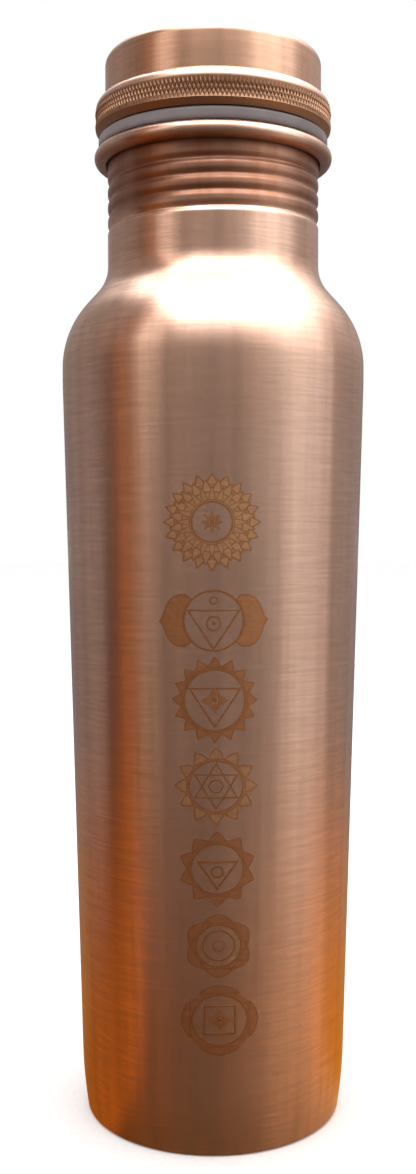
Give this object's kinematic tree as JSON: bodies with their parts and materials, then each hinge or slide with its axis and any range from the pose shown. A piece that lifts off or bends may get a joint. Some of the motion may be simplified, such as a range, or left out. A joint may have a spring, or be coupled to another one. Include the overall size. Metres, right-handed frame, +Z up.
{
  "type": "copper water bottle",
  "caption": "Tall tapered bottle with a rounded shoulder, a neck with a rolled thread, a curled mouth and a knurled screw lid over a clear washer.",
  "frame": {"origin": "centre of the base, in the plane that the bottle stands on", "axes": "+Z up along the bottle's axis, through the middle of the lid; -Y is the side that carries the column of round ornaments"},
  "size_m": [0.0736, 0.0736, 0.2574],
  "materials": {
    "body_copper": "brushed copper, satin, fine rings round the axis",
    "base_copper": "plain copper sheet, slightly dulled",
    "rim_wire": "drawn copper wire, hidden inside the curl",
    "lid_copper": "brushed copper, satin, fine rings round the axis",
    "knurl_copper": "diamond knurling, browned in the grooves",
    "stem_copper": "rolled copper thread, slightly dulled",
    "clear_silicone": "translucent silicone, slightly milky"
  },
  "bodies": {
    "bottle": {"body_shell": "body_copper", "rim_wire": "rim_wire", "base_disc": "base_copper"},
    "seal": {"cap_gasket": "clear_silicone"},
    "cap": {"cap_shell": "lid_copper", "knurled_ring": "knurl_copper", "threaded_stem": "stem_copper", "stem_end_disc": "stem_copper"}
  },
  "joints": [
    {"name": "cap_lift", "type": "slide", "parent": "bottle", "child": "seal", "axis": [0, 0, 1], "range_m": [0, 0.0253]},
    {"name": "cap_turn", "type": "hinge", "parent": "seal", "child": "cap", "pos_m": [0, 0, 0.23825], "axis": [0, 0, 1], "range_deg": [0, 2520]}
  ],
  "couplings": [
    {"joint": "cap_lift", "follows": "cap_turn", "m_per_rad": 0.00057296}
  ]
}
